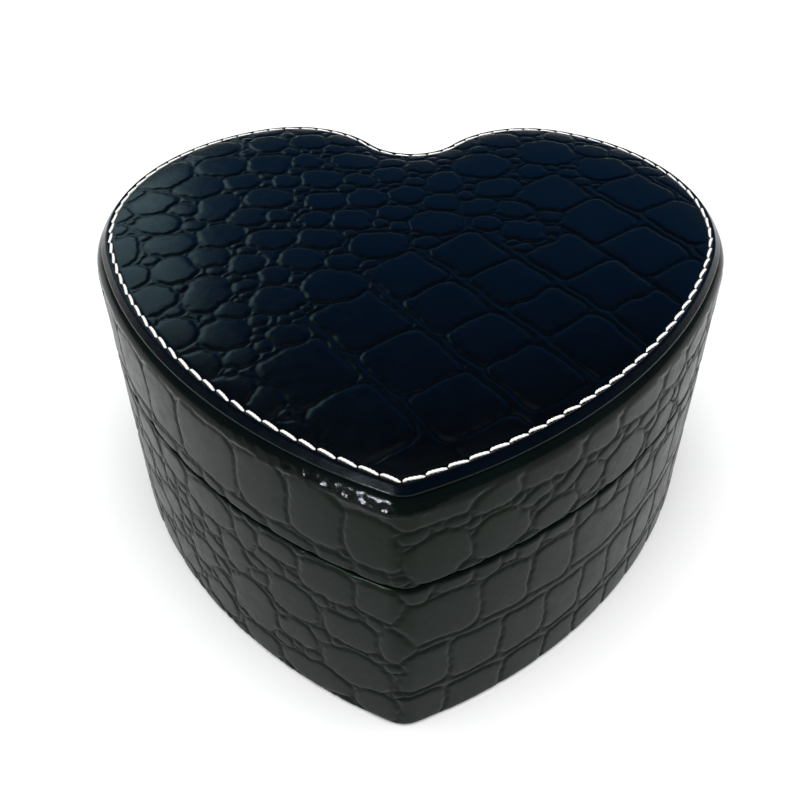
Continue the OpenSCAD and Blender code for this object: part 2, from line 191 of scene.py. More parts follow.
def piece(name, points, faces, body, slot, stands_for, values=None):
    """A smooth-shaded mesh piece that rides on a CAD body and stands for CAD nodes. Values are
    numbers that its look reads at each point."""
    mesh = bpy.data.meshes.new(name)
    mesh.from_pydata((np.asarray(points, float) * MM).tolist(), [], faces)
    for key, value in (values or {}).items():
        layer = mesh.attributes.new(key, "FLOAT", "POINT")
        layer.data.foreach_set("value", np.asarray(value, np.float32))
    work = bmesh.new()
    work.from_mesh(mesh)
    bmesh.ops.remove_doubles(work, verts=work.verts, dist=1e-6)
    bmesh.ops.recalc_face_normals(work, faces=work.faces)
    work.to_mesh(mesh)
    work.free()
    mesh.polygons.foreach_set("use_smooth", [True] * len(mesh.polygons))
    mesh.materials.append(MATERIALS[slot])
    obj = bpy.data.objects.new(name, mesh)
    bpy.context.scene.collection.objects.link(obj)
    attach(obj, body)
    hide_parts(*stands_for)
    return obj


def moved(faces, first):
    """The same faces over points that are numbered from first on."""
    return [[first + v for v in face] for face in faces]


def grid_faces(rows, columns, wrap_rows=True, wrap_columns=True):
    """Quads over a grid of points, closed both ways or open."""
    r = np.arange(rows if wrap_rows else rows - 1)
    c = np.arange(columns if wrap_columns else columns - 1)
    r, c = np.meshgrid(r, c, indexing="ij")
    r2, c2 = (r + 1) % rows, (c + 1) % columns
    quads = np.stack([r * columns + c, r * columns + c2, r2 * columns + c2, r2 * columns + c])
    return quads.reshape(4, -1).T.tolist()


def capped_faces(rings, around, first=0):
    """Faces of a tube made of rings of points, closed flat at both ends."""
    last = (rings - 1) * around
    caps = [list(range(around)), list(range(last, last + around))]
    return moved(grid_faces(rings, around, wrap_rows=False) + caps, first)


def crowned_faces(rings, around, top_faces):
    """Faces of a solid that is flat below. Rings of points climb its edge, and the last one is
    the outline of the top."""
    faces = moved(top_faces, (rings - 1) * around)
    return faces + grid_faces(rings, around, wrap_rows=False) + [list(range(around))]


def arc(cx, cy, r, start, end, count):
    """Points on an arc of a section, as (inset, z)."""
    a = np.radians(np.linspace(start, end, count))
    return np.stack([cx - r * np.cos(a), cy + r * np.sin(a)], -1)


def line(a, b, spacing):
    """Points from a to b, b left out."""
    a, b = np.array(a, float), np.array(b, float)
    count = max(1, round(float(np.linalg.norm(b - a)) / spacing))
    return a + (b - a) * (np.arange(count) / count)[:, None]


def section_normals(section):
    """Unit normals of a section, outward (toward a smaller inset) and up."""
    step = np.gradient(section, axis=0)
    step /= np.maximum(np.linalg.norm(step, axis=1), 1e-9)[:, None]
    return np.stack([-step[:, 1], step[:, 0]], -1)


def sweep(section, stations, raised=None):
    """Points of a section carried round the heart. raised[i, j] lifts point i of the section
    at station j along the surface's normal."""
    rows = []
    normals = section_normals(section)
    for i, (inset, z) in enumerate(section):
        point, outward = HEART.at(stations, inset)
        high = np.full(len(stations), z)
        if raised is not None:
            point = point - (normals[i, 0] * raised[i])[:, None] * outward
            high = high + normals[i, 1] * raised[i]
        rows.append(np.column_stack([point, high]))
    return np.vstack(rows)


BAND_SPACING = 1.2
RIM_SPACING = 0.1


def band(name, section, body, slot, stands_for):
    """A closed section carried round the heart, as one piece."""
    stations = HEART.stations(BAND_SPACING)
    section = np.vstack(section)
    faces = grid_faces(len(section), len(stations))
    return piece(name, sweep(section, stations), faces, body, slot, stands_for)


def depth_finder():
    """A function that gives how deep points lie inside the outline."""
    rim, normals = HEART.at(HEART.stations(RIM_SPACING))
    tree = kdtree.KDTree(len(rim))
    for k, (x, y) in enumerate(rim.tolist()):
        tree.insert((x, y, 0), k)
    tree.balance()

    def depth_at(points):
        """Distances inward from the outline."""
        nearest = [tree.find((x, y, 0))[1] for x, y in points.tolist()]
        return ((rim[nearest] - points) * normals[nearest]).sum(-1)

    return depth_at


depth_of = depth_finder()


def inside_of(inset, spacing):
    """Points and faces of a flat heart at an inset: a square grid, joined to the outline by a
    strip of triangles. Returns the points, the faces and how many points are the outline's."""
    loop = HEART.at(HEART.stations(spacing), inset)[0]
    low, high = loop.min(0), loop.max(0)
    xs = np.arange(low[0], high[0] + spacing, spacing)
    ys = np.arange(low[1], high[1] + spacing, spacing)
    gx, gy = np.meshgrid(xs, ys, indexing="ij")
    depth = depth_of(np.column_stack([gx.ravel(), gy.ravel()])).reshape(gx.shape)
    inside = depth > inset + 0.55 * spacing
    full = inside[:-1, :-1] & inside[1:, :-1] & inside[1:, 1:] & inside[:-1, 1:]
    used = np.zeros_like(inside)
    for dx in (0, 1):
        for dy in (0, 1):
            used[dx:used.shape[0] - 1 + dx, dy:used.shape[1] - 1 + dy] |= full
    number = np.full(gx.shape, -1)
    number[used] = np.arange(used.sum()) + len(loop)
    points = np.vstack([loop, np.column_stack([gx[used], gy[used]])])
    i, j = np.nonzero(full)
    quads = np.stack([number[i, j], number[i + 1, j], number[i + 1, j + 1], number[i, j + 1]], -1)
    # The grid's own rim is made of the edges that only one of its quads has
    seen = {}
    for quad in quads.tolist():
        for a, b in zip(quad, quad[1:] + quad[:1]):
            key = (min(a, b), max(a, b))
            seen[key] = seen.get(key, 0) + 1
    rim = [edge for edge, count in seen.items() if count == 1]
    loop_edges = [(k, (k + 1) % len(loop)) for k in range(len(loop))]
    strip_ids = sorted({v for edge in rim for v in edge} | set(range(len(loop))))
    local = {v: k for k, v in enumerate(strip_ids)}
    edges = [(local[a], local[b]) for a, b in rim + loop_edges]
    flat = [Vector(points[v]) for v in strip_ids]
    made = geometry.delaunay_2d_cdt(flat, edges, [], 0, 1e-7)
    back = [strip_ids[source[0]] if source else -1 for source in made[3]]
    triangles = []
    for face in made[2]:
        ids = [back[v] for v in face]
        if -1 in ids:
            continue
        centre = points[ids].mean(0)
        column = int((centre[0] - xs[0]) / spacing)
        row = int((centre[1] - ys[0]) / spacing)
        covered = (0 <= column < full.shape[0] and 0 <= row < full.shape[1]
                   and full[column, row])
        if not covered and depth_of(centre[None])[0] > inset - 0.3 * spacing:
            triangles.append(ids)
    return points, quads.tolist() + triangles, len(loop)


# ---------------------------------------------------------------- crocodile relief
# A cell is one scale: x, y, half width, half height, squareness, angle. A squareness of 2 is
# an oval, and 6 is nearly a rectangle. Lengths are in millimetres, and TILE is the side of
# the squares in which the relief is worked out.
GROOVE_DEPTH = 0.34
GROOVE_WIDTH = 0.46
DOME_HEIGHT = 0.12
DOME_REACH = 1.8
OVAL = 2.5
SNUG = 0.75
SMALLEST = 0.75
TILT = 0.008
TILE = 12
TILE_REACH = TILE + 24


class Cells:
    """A patch of crocodile scales on a flat sheet of leather."""

    def __init__(self, seed):
        self.rows = []
        self.random = np.random.default_rng(seed)

    def add(self, x, y, a, b, square, angle=0.0):
        """One scale, as it is given."""
        self.rows.append((x, y, a, b, square, angle))

    def oval(self, x, y, a, b, angle=0.0):
        """A rounded scale, drawn out a little to meet its neighbours."""
        self.add(x, y, a + SNUG, b + SNUG, OVAL, angle)

    def row(self, start, height, widths, square, angle):
        """Scales side by side along a line that leaves start at an angle."""
        c, s = math.cos(math.radians(angle)), math.sin(math.radians(angle))
        for along, width in side_by_side(0.0, widths):
            mid = along + width / 2
            self.add(start[0] + mid * c, start[1] + mid * s, width / 2, height / 2, square,
                     angle + self.random.uniform(-1.5, 1.5))

    def on_to_valley(self, start, least, most):
        """Where each scale begins, and its width, in a row from start as far as the valley."""
        while start < HEART.half:
            width = self.random.uniform(least, most)
            yield start, width
            start += width

    def fill(self, inside, box, largest, smallest, stretch, darts=9000):
        """Packs ovals into what is free, each against its neighbours, from the largest size
        down. inside(x, y) limits the region."""
        spots = self.random.uniform(*box, (darts, 2))
        spots = spots[inside(spots[:, 0], spots[:, 1])]

        def room(rows):
            """How far each spot is from the nearest of some scales."""
            d, size = self._measure(spots[:, 0], spots[:, 1], np.array(rows))
            return ((d - 1) * size).min(1)

        clear = np.full(len(spots), 1e3)
        for start in range(0, len(self.rows), 40):
            clear = np.minimum(clear, room(self.rows[start:start + 40]))
        while clear.max() >= smallest:
            size = min(largest * self.random.uniform(0.8, 1), clear.max())
            fits = np.nonzero(clear >= size * 0.98)[0]
            x, y = spots[fits[clear[fits].argmin()]]
            ratio = self.random.uniform(1, stretch)
            self.oval(x, y, size * ratio, size / ratio ** 0.4, self.random.uniform(-30, 30))
            clear = np.minimum(clear, room(self.rows[-1:]))

    @staticmethod
    def _measure(x, y, rows):
        """How many times its own size each scale would grow to reach each point, and the
        smaller half size of each scale."""
        angle = np.radians(rows[:, 5])
        c, s = np.cos(angle), np.sin(angle)
        dx = x[:, None] - rows[:, 0]
        dy = y[:, None] - rows[:, 1]
        u = np.abs(dx * c + dy * s) / rows[:, 2]
        v = np.abs(-dx * s + dy * c) / rows[:, 3]
        p = rows[:, 4]
        d = (u ** p + v ** p) ** (1 / p)
        return d, np.minimum(rows[:, 2], rows[:, 3])

    def relief(self, x, y):
        """Height of the leather at points, and how deep in a crease each is, 0 to 1."""
        rows = np.array(self.rows)
        tilts = np.random.default_rng(len(rows)).uniform(-TILT, TILT, (len(rows), 2))
        x, y = (x + 0.35 * np.sin(0.47 * y + 1.9 * np.sin(0.21 * x)) + 0.14 * np.sin(1.7 * y + x),
                y + 0.35 * np.sin(0.43 * x + 2.1 * np.sin(0.19 * y)) + 0.14 * np.sin(1.6 * x - y))
        height = np.zeros(len(x))
        crease = np.zeros(len(x))
        tile = np.floor(x / TILE).astype(int) * 4096 + np.floor(y / TILE).astype(int)
        for key in np.unique(tile):
            at = np.nonzero(tile == key)[0]
            px, py = x[at], y[at]
            near = np.nonzero((np.abs(rows[:, 0] - px.mean()) < TILE_REACH)
                              & (np.abs(rows[:, 1] - py.mean()) < TILE_REACH))[0]
            if len(near) < 2:
                continue
            d, size = self._measure(px, py, rows[near])
            order = np.argpartition(d, 1, axis=1)[:, :2]
            pick = np.arange(len(at))
            swap = d[pick, order[:, 0]] > d[pick, order[:, 1]]
            order[swap] = order[swap][:, ::-1]
            d1, d2 = d[pick, order[:, 0]], d[pick, order[:, 1]]
            own = (1 - d1) * size[order[:, 0]]
            shared = (d2 - d1) / (1 / size[order[:, 0]] + 1 / size[order[:, 1]])
            g = np.where(d1 < 1, np.minimum(own, shared), own)
            groove = np.exp(-(np.abs(g) / GROOVE_WIDTH) ** 1.7)
            dome = np.where(g > 0, 1 - np.exp(-g / DOME_REACH), 0)
            cell = near[order[:, 0]]
            lean = (tilts[cell, 0] * (px - rows[cell, 0]) + tilts[cell, 1] * (py - rows[cell, 1]))
            height[at] = dome * DOME_HEIGHT - GROOVE_DEPTH * groove + lean * np.clip(g, 0, 1)
            crease[at] = groove
        return height - DOME_HEIGHT, crease


# ---------------------------------------------------------------- materials
def grey(value):
    """A colour that leans to no hue."""
    return (value, value, value)


class Nodes:
    """A node tree, with short ways to add to it."""

    def __init__(self, owner):
        owner.use_nodes = True
        self.tree = owner.node_tree

    def feed(self, socket, value):
        """Links an input to an output, or sets it to a number or a colour."""
        if hasattr(value, "links"):
            self.tree.links.new(value, socket)
        elif socket.type == "RGBA":
            socket.default_value = (*value, 1)
        else:
            socket.default_value = value

    def add(self, kind, inputs=None, **settings):
        """A new node with its inputs fed."""
        node = self.tree.nodes.new("ShaderNode" + kind)
        for name, value in settings.items():
            setattr(node, name, value)
        for name, value in (inputs or {}).items():
            self.feed(node.inputs[name], value)
        return node

    def place(self):
        """The place on the piece, in metres."""
        return self.add("TexCoord").outputs["Object"]

    def noise(self, scale, detail=4.0, roughness=0.5, stretch=(1, 1, 1)):
        """A noise texture fixed to the piece. The scale is in features per metre."""
        mapping = self.add("Mapping", {"Vector": self.place(), "Scale": stretch})
        texture = self.add("TexNoise", {"Vector": mapping.outputs["Vector"], "Scale": scale,
                                        "Detail": detail, "Roughness": roughness})
        return texture.outputs["Fac"]

    def ramp(self, source, stops):
        """A colour ramp. Stops are (place, colour)."""
        node = self.add("ValToRGB", {"Fac": source})
        elements = node.color_ramp.elements
        while len(elements) < len(stops):
            elements.new(0.5)
        for element, (place, colour) in zip(elements, stops):
            element.position = place
            element.color = (*colour, 1)
        return node.outputs["Color"]

    def mix(self, share, first, second):
        """Mixes two colours by a share. Each is an output or a colour."""
        node = self.add("Mix", data_type="RGBA")
        for name, kind, value in (("Factor", "VALUE", share), ("A", "RGBA", first),
                                  ("B", "RGBA", second)):
            self.feed(next(i for i in node.inputs if (i.name, i.type) == (name, kind)), value)
        return next(o for o in node.outputs if o.type == "RGBA")

    def bump(self, height, strength, distance, under=None):
        """Bump from a texture, over an earlier bump if there is one."""
        inputs = {"Height": height, "Strength": strength, "Distance": distance}
        if under is not None:
            inputs["Normal"] = under
        return self.add("Bump", inputs).outputs["Normal"]


class Look(Nodes):
    """A new material with its Principled shader."""

    def __init__(self, name):
        self.material = bpy.data.materials.new(name)
        super().__init__(self.material)

    def finish(self, inputs):
        """Feeds the shader, and returns the material."""
        for name, value in inputs.items():
            self.feed(self.tree.nodes["Principled BSDF"].inputs[name], value)
        return self.material


def croc_leather(name, dark, light, shine, gloss, tint, coat):
    """Embossed leather. Creases are duller, and their colour carries painted shade, a darker
    tone; the scales have fine pores.
    """
    look = Look(name)
    crease = look.add("Attribute", attribute_name="crease").outputs["Fac"]
    polish = look.add("Attribute", attribute_name="polish").outputs["Fac"]
    tone = look.ramp(look.noise(45, 3), [(0.3, dark), (0.75, light)])
    # Painted shade: the colour goes darker in the creases, where shade falls
    painted_crease_shade = tuple(0.35 * c for c in dark)
    worn = look.ramp(look.noise(260, 4), [(0.3, grey(shine - 0.05)), (0.7, grey(shine + 0.06))])
    rough = look.mix(crease, worn, grey(shine + 0.1))
    grain = look.bump(look.noise(900, 6, 0.6), 0.35, 0.00008)
    pores = look.add("TexVoronoi", {"Vector": look.place(), "Scale": 2600})
    return look.finish({
        "Base Color": look.mix(crease, tone, painted_crease_shade),
        "Roughness": look.mix(polish, rough, grey(0.14)),
        "Normal": look.bump(pores.outputs["Distance"], 0.2, 0.00004, grain),
        "Specular IOR Level": gloss,
        # Painted reflection colour: the specular tint gives reflections the room's tint, and
        # turns pale blue on the polished rim
        "Specular Tint": look.mix(polish, tint, (0.85, 0.88, 1)),
        "Coat Weight": coat,
        "Coat Roughness": 0.16,
    })


def velvet(name, dark, light, sheen):
    """Short-pile velvet. Its colour has lighter and darker patches, painted sheen of a pile that
    lies different ways.
    """
    look = Look(name)
    # Painted sheen: lighter and darker patches in the colour, where the pile lies different ways
    painted_nap_sheen = look.noise(38, 3, 0.55)
    pile = look.noise(2400, 3, 0.7)
    return look.finish({
        "Base Color": look.ramp(painted_nap_sheen, [(0.35, dark), (0.7, light)]),
        "Roughness": look.ramp(pile, [(0.2, grey(0.78)), (0.8, grey(0.98))]),
        "Normal": look.bump(pile, 0.7, 0.00025),
        "Sheen Weight": sheen,
        "Sheen Roughness": 0.35,
        "Sheen Tint": (0.75, 0.78, 0.86),
        "Specular IOR Level": 0.15,
    })


def fibrous(name, dark, light, scale, stretch=(1, 1, 1), rough=0.85, depth=0.0002):
    """Board, card, foam, felt or thread: two tones of fibres with a rough face."""
    look = Look(name)
    fibres = look.noise(scale, 6, 0.65, stretch)
    return look.finish({
        "Base Color": look.ramp(fibres, [(0.3, dark), (0.7, light)]),
        "Roughness": look.ramp(fibres, [(0.2, grey(rough - 0.08)), (0.8, grey(rough + 0.08))]),
        "Normal": look.bump(fibres, 0.5, depth),
    })


def metal(name, dark, light, rough, scale=500, stretch=(1, 1, 1), depth=0.00002):
    """Plated metal or glass silvering, with faint brushing and small stains."""
    look = Look(name)
    brushed = look.noise(scale, 5, 0.6, stretch)
    return look.finish({
        "Metallic": 1,
        "Base Color": look.ramp(brushed, [(0.25, dark), (0.7, light)]),
        "Roughness": look.ramp(brushed, [(0.2, grey(rough)), (0.8, grey(rough * 1.7))]),
        "Normal": look.bump(brushed, 0.3, depth),
    })


def ribbon_weave(name):
    """Satin ribbon: fine ribs across its length."""
    look = Look(name)
    ribs = look.add("TexWave", {"Vector": look.place(), "Scale": 900, "Distortion": 0.6},
                    bands_direction="Y").outputs["Fac"]
    return look.finish({
        "Base Color": look.ramp(ribs, [(0, (0.012, 0.012, 0.015)), (1, (0.035, 0.035, 0.042))]),
        "Roughness": look.ramp(ribs, [(0, grey(0.32)), (1, grey(0.5))]),
        "Normal": look.bump(ribs, 0.4, 0.00006),
    })


MATERIALS = {
    # Both are the same black leather: the sides' greenish tint and the top's navy tint, in base
    # colour and in specular tint, are painted reflections of the room
    "croc_side": croc_leather("croc_side", (0.0014, 0.0028, 0.002), (0.0028, 0.0054, 0.0038),
                              0.3, 0.075, (0.64, 1, 0.78), 0.01),
    "croc_top": croc_leather("croc_top", (0.0004, 0.0008, 0.0014), (0.0007, 0.0014, 0.0028),
                             0.24, 0.15, (0.85, 1, 1), 0.08),
    "thread": fibrous("thread", (0.72, 0.7, 0.66), (0.93, 0.92, 0.89), 3000,
                      rough=0.6, depth=0.00004),
    "velvet": velvet("velvet", (0.010, 0.010, 0.013), (0.022, 0.022, 0.028), 0.7),
    "felt": fibrous("felt", (0.012, 0.012, 0.013), (0.035, 0.035, 0.038), 1500, rough=0.9),
    "ribbon": ribbon_weave("ribbon"),
    "fibreboard": fibrous("fibreboard", (0.2, 0.13, 0.07), (0.42, 0.3, 0.19), 700,
                          (1, 1, 4)),
    "card": fibrous("card", (0.2, 0.18, 0.16), (0.33, 0.31, 0.28), 900),
    "foam": fibrous("foam", (0.6, 0.57, 0.48), (0.8, 0.77, 0.7), 1300, rough=0.9),
    "mirror": metal("mirror", (0.80, 0.83, 0.84), (0.86, 0.89, 0.9), 0.015, 12, depth=1e-7),
    "hinge_metal": metal("hinge_metal", (0.5, 0.46, 0.38), (0.62, 0.57, 0.48), 0.17,
                         160, (14, 1, 0.5), depth=0.000006),
    "steel": metal("steel", (0.45, 0.45, 0.47), (0.68, 0.69, 0.7), 0.22),
}


# ---------------------------------------------------------------- camera, light and floor
def camera():
    """The camera in front of the box, looking down at it."""
    azimuth, elevation, roll = math.radians(1.48), math.radians(42), math.radians(-0.38)
    aim, distance = Vector((-2.4, 0, 38.5)), 295.3
    back = Vector((math.sin(azimuth) * math.cos(elevation),
                   -math.cos(azimuth) * math.cos(elevation), math.sin(elevation)))
    level = Vector((math.cos(azimuth), math.sin(azimuth), 0))
    upright = back.cross(level)
    right = math.cos(roll) * level + math.sin(roll) * upright
    up = back.cross(right)
    data = bpy.data.cameras.new("camera")
    data.angle = math.radians(43.8)
    data.clip_start = 0.01
    obj = bpy.data.objects.new("camera", data)
    place = Matrix((right, up, back)).transposed().to_4x4()
    place.translation = (aim + distance * back) * MM
    obj.matrix_world = place
    bpy.context.scene.collection.objects.link(obj)
    bpy.context.scene.camera = obj


def lamp(name, place, size, power, glossy=True, diffuse=True, colour=(1, 1, 1)):
    """A round light aimed at the box. Mirrored and plain light can each do without it."""
    data = bpy.data.lights.new(name, "AREA")
    data.shape = "DISK"
    data.size = size
    data.energy = power
    data.color = colour
    obj = bpy.data.objects.new(name, data)
    obj.location = place
    obj.rotation_euler = (-Vector(place)).to_track_quat("-Z", "Y").to_euler()
    obj.visible_glossy = glossy
    obj.visible_diffuse = diffuse
    bpy.context.scene.collection.objects.link(obj)


def studio():
    """A white floor in a pale studio. Shiny faces mirror a dim room with a blue wall."""
    scene = bpy.context.scene
    scene.view_settings.view_transform = "Standard"
    scene.world = bpy.data.worlds.new("studio")
    sky = Nodes(scene.world)
    split = sky.add("SeparateXYZ", {"Vector": sky.add("TexCoord").outputs["Generated"]})
    room = sky.ramp(split.outputs["Z"],
                    [(0.0, (0.36, 0.38, 0.37)), (0.12, (0.12, 0.14, 0.14)),
                     (0.34, (0.03, 0.10, 0.2)), (0.5, (0.02, 0.15, 0.42)),
                     (0.6, (0.015, 0.09, 0.3)), (0.68, (0.02, 0.04, 0.08)),
                     (0.86, (0.02, 0.03, 0.04)), (0.95, (0.3, 0.34, 0.34))])
    rays = sky.add("LightPath").outputs
    seen = sky.mix(rays["Is Camera Ray"], grey(0.28), grey(1))
    backdrop = sky.mix(rays["Is Glossy Ray"], seen, room)
    sky.feed(sky.tree.nodes["Background"].inputs["Color"], backdrop)

    lamp("overhead", (0, -0.6, 3), size=4, power=150, glossy=False)
    lamp("left_soft", (-0.97, 1.4, 0.98), size=1.0, power=3.0, colour=(0.68, 1, 1))
    lamp("front_spark", (-1.15, -1.35, 0.5), size=0.28, power=32, diffuse=False)

    # Far from the box the floor glows, so that it ends white at the horizon
    size = 6.0
    floor_mesh = bpy.data.meshes.new("floor")
    corners = [(-size, -size, 0), (size, -size, 0), (size, size, 0), (-size, size, 0)]
    floor_mesh.from_pydata(corners, [], [(0, 1, 2, 3)])
    floor = bpy.data.objects.new("floor", floor_mesh)
    scene.collection.objects.link(floor)
    paint = Look("floor")
    distance = paint.add("VectorMath", {0: paint.place()}, operation="LENGTH")
    glow = paint.add("MapRange", {"Value": distance.outputs["Value"], "From Min": 1.0,
                                  "From Max": 2.4, "To Max": 0.9})
    floor_mesh.materials.append(paint.finish({
        "Base Color": paint.ramp(paint.noise(3, 2), [(0.3, grey(0.9)), (0.7, grey(0.93))]),
        "Roughness": 0.9,
        "Emission Strength": glow.outputs["Result"],
        "Emission Color": grey(1),
    }))


# ---------------------------------------------------------------- leather of the sides
FINE = 0.45
EDGE_R = 1.3
RIM_R = 5.5
HEM = 0.95
TUCK_IN = 6
FOLD_Z = RIM_Z - 3.9


def everywhere(x, y):
    """True at every place."""
    return np.full(len(x), True)


def side_cells_lid():
    """Scales of the lid's side, over length from the tip and height."""
    cells = Cells(11)
    # Left of the tip: one row of tall scales over a strip of small ones
    widths = (14, 15, 16, 22, 16, 19, 15, 21, 17, 14, 20, 16, 18, 15, 20, 17)
    for place, width in side_by_side(0.0, widths):
        cells.add(-place - width / 2, 73 + cells.random.uniform(-0.4, 0.4),
                  width / 2 + 0.1, 9.8, 5.5, cells.random.uniform(-3, 3))
    for place, width in cells.on_to_valley(3.0, 8, 16):
        cells.add(-place - width / 2, 60.2, width / 2 + 0.1, 2.5, 4.5,
                  cells.random.uniform(-4, 4))
    # Right of the tip: low scales under the rim, then rounder ones
    cells.add(3, 82.8, 21, 5.4, 2.2)
    widths = (14, 18, 13, 19, 13, 16, 21, 14, 17, 15, 19, 13, 18, 16, 14, 19, 16)
    for place, width in side_by_side(15.0, widths):
        cells.add(place + width / 2, 79.4 + cells.random.uniform(-0.5, 0.5),
                  width / 2 - 0.1, 4.5, 3.2, cells.random.uniform(-5, 5))
    for s, z, a, b, angle in ((8.5, 66.3, 7.9, 7.6, 14), (24.8, 66.2, 7.6, 6.6, 8),
                              (41, 63.2, 6.8, 3.9, 0), (51.5, 67.6, 4.5, 4.3, 0),
                              (65, 64.6, 8.4, 6.2, 5), (83, 62, 6.6, 5.4, 12)):
        cells.oval(s, z, a, b, angle)
    for place, width in cells.on_to_valley(92.0, 12, 19):
        cells.oval(place + width / 2, 66 + cells.random.uniform(-1, 1), width / 2 - 0.8,
                   cells.random.uniform(5.5, 7), cells.random.uniform(-12, 12))
    cells.fill(everywhere, ((-HEART.half, 58), (HEART.half, 82)), 3.2, SMALLEST,
               stretch=1.9, darts=16000)
    return cells


def side_cells_base():
    """Scales of the base's side, over length from the tip and height."""
    cells = Cells(12)
    # Right of the tip: three rows that slope down a little
    rows = ((43.3, 17, -2.5, -1.0, (23, 14.5, 14.5, 22, 13.5, 14, 15, 18)),
            (24.3, 16.8, -1.0, -2.0, (13.5, 15, 14.5, 13.5, 11.5, 13, 14, 16)),
            (7.3, 13.2, -3.0, -2.4, (14.5, 17.5, 14.5, 12, 14, 13, 15, 14)))
    for level, height, start, slope, widths in rows:
        cells.row((start, level), height, widths, 6.5, slope)
        end = start + sum(widths)
        drop = math.tan(math.radians(slope)) * end
        for place, width in cells.on_to_valley(end, 12.5, 18):
            high = level + drop + 3 * math.sin(place / 45) * (place - 100) / 170
            cells.add(place + width / 2, high, width / 2 + 0.1, height / 2, 3.8)
    # Left of the tip: ovals in loose rows, with small scales between them
    for s, z, a, b, angle in (
            (-6, 50, 6.2, 5.8, 0), (-20, 49.3, 8.2, 6, 6), (-34.5, 51.6, 6.2, 3.6, 0),
            (-45.5, 48.8, 3.8, 4.8, 0), (-59.5, 50, 9.6, 5.4, 2), (-76, 51.3, 6.4, 4.4, 0),
            (-92, 50.3, 7.7, 4.8, 0), (-14, 33.8, 7.5, 5.7, 5), (-31.5, 34.8, 7.6, 6.5, -8),
            (-50.5, 37.6, 4.9, 6, 0), (-1.5, 35, 4, 6.7, 0), (-13, 18.5, 10, 6.8, 6),
            (-31, 21.4, 5.9, 4.6, 0), (-46.5, 21.3, 8.9, 8.9, 8), (-26, 7, 11, 5.2, 2),
            (-6, 6.5, 7, 5.2, 0), (-45, 6, 7.2, 4.4, 0), (-68, 24, 6.7, 5.2, 20),
            (-62, 9.5, 6.7, 5.2, 0), (-80, 12, 7.2, 5.7, 10), (-84, 30, 6.2, 5.2, 0)):
        cells.oval(s, z, a, b, angle)
    # Large ovals on the far left, then small ones all over the left and along the top edge
    cells.fill(lambda x, y: x < -84, ((-HEART.half, 2), (4, 55)), 7.0, 4.5, stretch=1.35)
    cells.fill(lambda x, y: (x < 2) | (y > 51.5) & (y < 55.5),
               ((-HEART.half, 1), (HEART.half, 56)), 3.4, SMALLEST, stretch=1.7, darts=26000)
    return cells


def leather_side(name, cells, outer, inner, trace, fade, body, node):
    """A wrapped side. The outer part of its section carries the relief; trace is each of its
    points' place along the leather, and fade how much relief each takes."""
    stations = HEART.stations(FINE)
    section = np.vstack([outer, inner])
    s, v = np.meshgrid(stations, trace)
    height, crease = (part.reshape(s.shape) * fade[:, None]
                      for part in cells.relief(s.ravel(), v.ravel()))
    polish = smooth_step(v, RIM_Z - RIM_R, FOLD_Z)
    rest = np.zeros((len(inner), len(stations)))
    points = sweep(section, stations, np.vstack([height + rim_wrinkles(s, v), rest]))
    values = {"crease": np.vstack([crease, rest]).ravel(),
              "polish": np.vstack([polish, rest]).ravel()}
    faces = grid_faces(len(section), len(stations))
    piece(name, points, faces, body, "croc_side", [node], values)


def rim_wrinkles(s, v):
    """A pressed fold along the rim near the tip, with small gathers across it."""
    near_tip = smooth_step(s, -60, -24) * (1 - smooth_step(s, 1, 16))
    fold_line = FOLD_Z + 0.25 * np.sin(0.23 * s) + 0.15 * np.sin(0.61 * s + 1)
    fold = np.interp(v - fold_line, (-0.6, 0, 1.5, 4.0), (0, 0.2, -0.2, 0))
    on_rim = smooth_step(v, RIM_Z - RIM_R, RIM_Z - 4) * (1 - smooth_step(v, RIM_Z - 2.4, RIM_Z))
    gathers = (np.sin(1.3 * s + 1.3 * v) + 0.7 * np.sin(2.3 * s - 0.9 * v + 2)
               + 0.5 * np.sin(3.1 * s + 2.2 * v + 4))
    return (fold + 0.05 * gathers * on_rim) * near_tip


def lower_edge(low):
    """The rounded edge at the foot of a leather side."""
    return arc(EDGE_R, low + EDGE_R, EDGE_R, -90, 0, 5)[:-1]


def base_leather():
    """The leather round the base, turned in over the wall and under the box."""
    low, top = BASE_BOTTOM, BASE_TOP
    outer = np.vstack([
        lower_edge(low),
        line((0, low + EDGE_R), (0, top - EDGE_R), FINE),
        arc(EDGE_R, top - EDGE_R, EDGE_R, 0, 90, 5),
    ])
    lap_in, skin_in, under_in = COLLAR_OUT - 0.05, LEATHER_T + 0.02, 5.9
    under = FLOOR_BOTTOM - 0.9
    inner = np.array([
        (lap_in, top), (lap_in, top - HEM), (skin_in, top - HEM), (skin_in, FLOOR_BOTTOM),
        (under_in, FLOOR_BOTTOM), (under_in, under), (EDGE_R + 0.3, under)])
    z = outer[:, 1]
    fade = smooth_step(z, low, low + 1.5) * (1 - smooth_step(z, top - 1.2, top))
    leather_side("base_leather", side_cells_base(), outer, inner, z, fade,
                 "base", "base_side_wrap")


